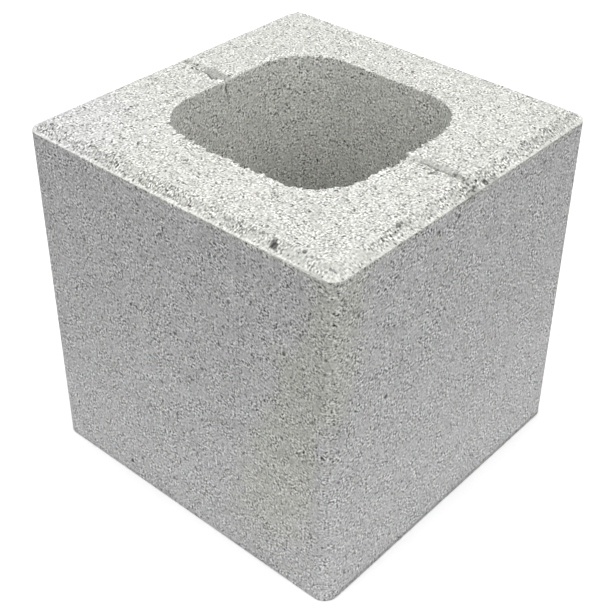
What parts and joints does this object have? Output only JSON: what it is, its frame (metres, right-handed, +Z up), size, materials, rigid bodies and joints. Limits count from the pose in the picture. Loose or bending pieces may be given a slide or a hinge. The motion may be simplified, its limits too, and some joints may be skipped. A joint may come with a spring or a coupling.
{
  "type": "concrete half block",
  "caption": "Cast concrete cube block with a round-cornered core through it, a bevelled top margin and a shallow core bar groove across its end webs.",
  "frame": {"origin": "middle of the bottom bed, on the floor", "axes": "+Z up through the core, out of the bevelled top bed; +X out of one end web, along the core bar groove; +Y out of one face shell"},
  "size_m": [0.194, 0.194, 0.194],
  "materials": {
    "cast_concrete": "dry-cast, fine sandy grain, matte"
  },
  "bodies": {
    "root": {"concrete_block": "cast_concrete"}
  },
  "joints": []
}
